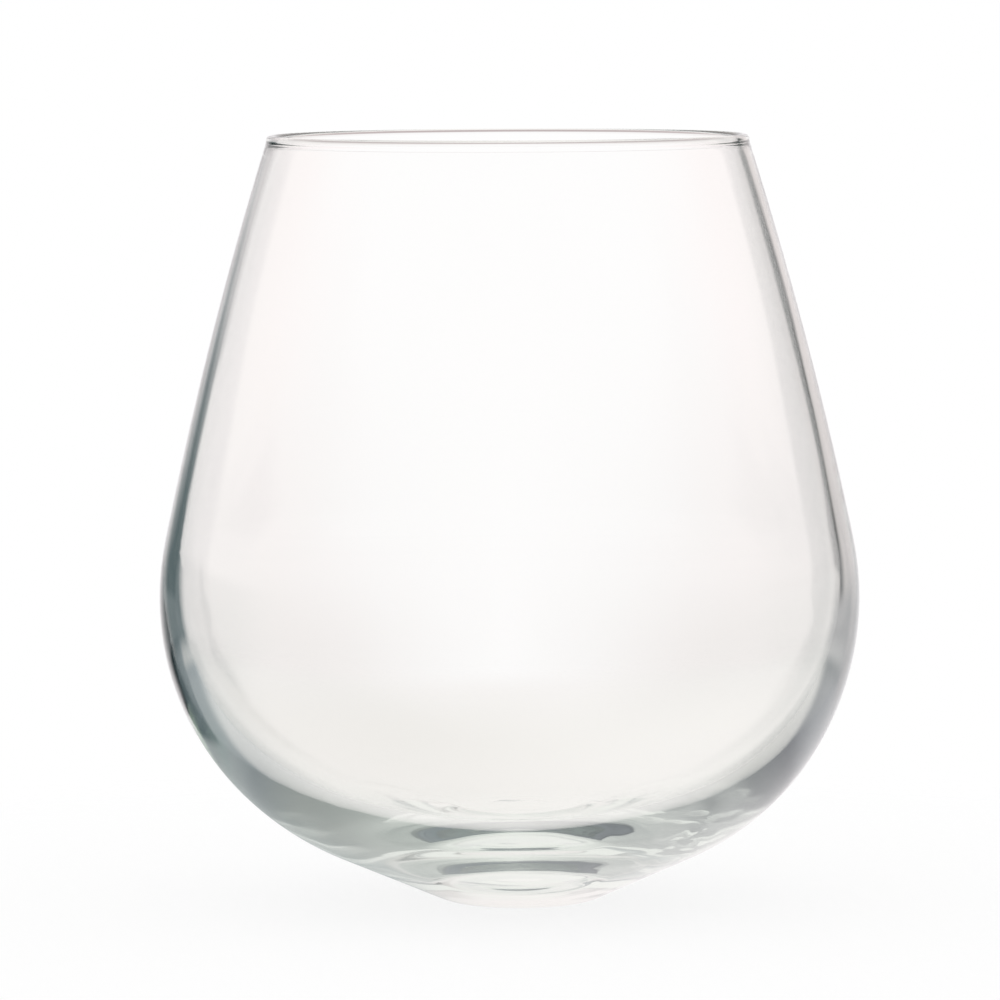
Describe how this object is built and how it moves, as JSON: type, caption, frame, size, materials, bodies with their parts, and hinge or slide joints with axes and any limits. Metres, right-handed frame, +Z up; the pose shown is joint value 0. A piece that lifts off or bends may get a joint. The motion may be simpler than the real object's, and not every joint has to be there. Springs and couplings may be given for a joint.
{
  "type": "stemless drinking glass",
  "caption": "Clear stemless drinking glass with a round belly, an inward-leaning wall with a beaded lip, and a thick cone-shaped base ending in a small flat tip, on which it stands, rocks and rolls.",
  "frame": {"origin": "middle of the flat tip, on the surface that the glass stands on", "axes": "+Z up along the axis that the glass is turned about; +X and +Y are any two square directions round it"},
  "size_m": [0.092, 0.092, 0.1008],
  "materials": {
    "clear_glass": "polished"
  },
  "bodies": {
    "root": {"glass_body": "clear_glass"}
  },
  "joints": []
}
